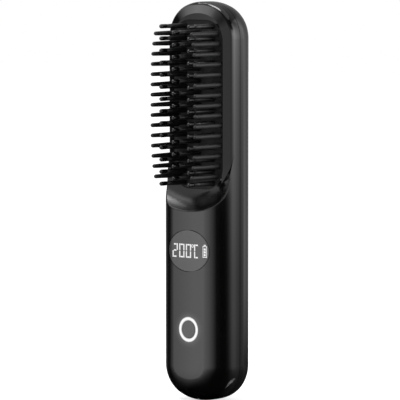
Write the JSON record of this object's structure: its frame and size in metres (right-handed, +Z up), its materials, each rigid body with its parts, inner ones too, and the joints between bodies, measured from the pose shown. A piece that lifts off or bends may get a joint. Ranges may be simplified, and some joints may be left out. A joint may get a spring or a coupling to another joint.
{
  "type": "electric styling brush",
  "caption": "Capsule-shaped cordless styling brush with heated teeth and guard bristles in a recessed head, an oval readout window and a round lit power button on the handle.",
  "frame": {"origin": "middle of the object's box at its lower end, where the rounded end would touch a table", "axes": "+Z runs up along the handle to the head, -Y is the front with the bristles, +X is right seen from the front"},
  "size_m": [0.0416, 0.0386, 0.195],
  "materials": {
    "shell": "high-gloss black",
    "lens": "smoked glossy window",
    "readout": "clear windows lit white",
    "foam": "closed-cell foam",
    "module": "white reflector box",
    "light_ring": "milky light guide lit white",
    "button": "glossy dark grey",
    "switch": "black nylon",
    "board": "green solder mask",
    "lamp": "white lamp body",
    "chip": "moulded epoxy",
    "steel": "zinc plated",
    "battery": "blue sleeve over a metal can",
    "nickel": "nickel strip",
    "port_steel": "bright drawn steel",
    "port_plastic": "black moulded insulator",
    "wire_red": "silicone insulation",
    "wire_black": "silicone insulation",
    "bed": "satin black",
    "bristle": "polished black nylon",
    "tooth": "black ceramic-coated metal",
    "tooth_tip": "glossy black insulating tip",
    "heater_metal": "machined",
    "ceramic": "fired ceramic",
    "film": "amber polyimide",
    "carrier": "glass-filled black",
    "sensor": "glass bead",
    "fuse": "metal can"
  },
  "bodies": {
    "brush": {"rear_shell": "shell", "front_shell": "shell", "display_lens": "lens", "display_segments": "readout", "display_gasket": "foam", "display_module": "module", "light_ring": "light_ring", "switch_body": "switch", "main_board": "board", "ring_leds": "lamp", "control_chip": "chip", "board_screws": "steel", "battery_cell": "battery", "battery_tabs": "nickel", "charge_board": "board", "charge_screws": "steel", "usb_receptacle": "port_steel", "usb_tongue": "port_plastic", "charge_leads": "wire_red", "bristle_bed": "bed", "guard_bristles": "bristle", "heated_teeth": "tooth", "tooth_tips": "tooth_tip", "heater_plate": "heater_metal", "ptc_elements": "ceramic", "insulating_film": "film", "heater_clamp": "heater_metal", "heater_carrier": "carrier", "carrier_screws": "steel", "thermistor": "sensor", "thermal_fuse": "fuse", "heater_leads": "wire_red", "sensor_lead": "wire_black"},
    "button": {"power_button": "button", "switch_plunger": "switch"}
  },
  "joints": [
    {"name": "button_press", "type": "slide", "parent": "brush", "child": "button", "axis": [0, 1, 0], "range_m": [0, 0.0004], "stiffness_N_per_m": 1500, "springref_m": -0.0004}
  ]
}
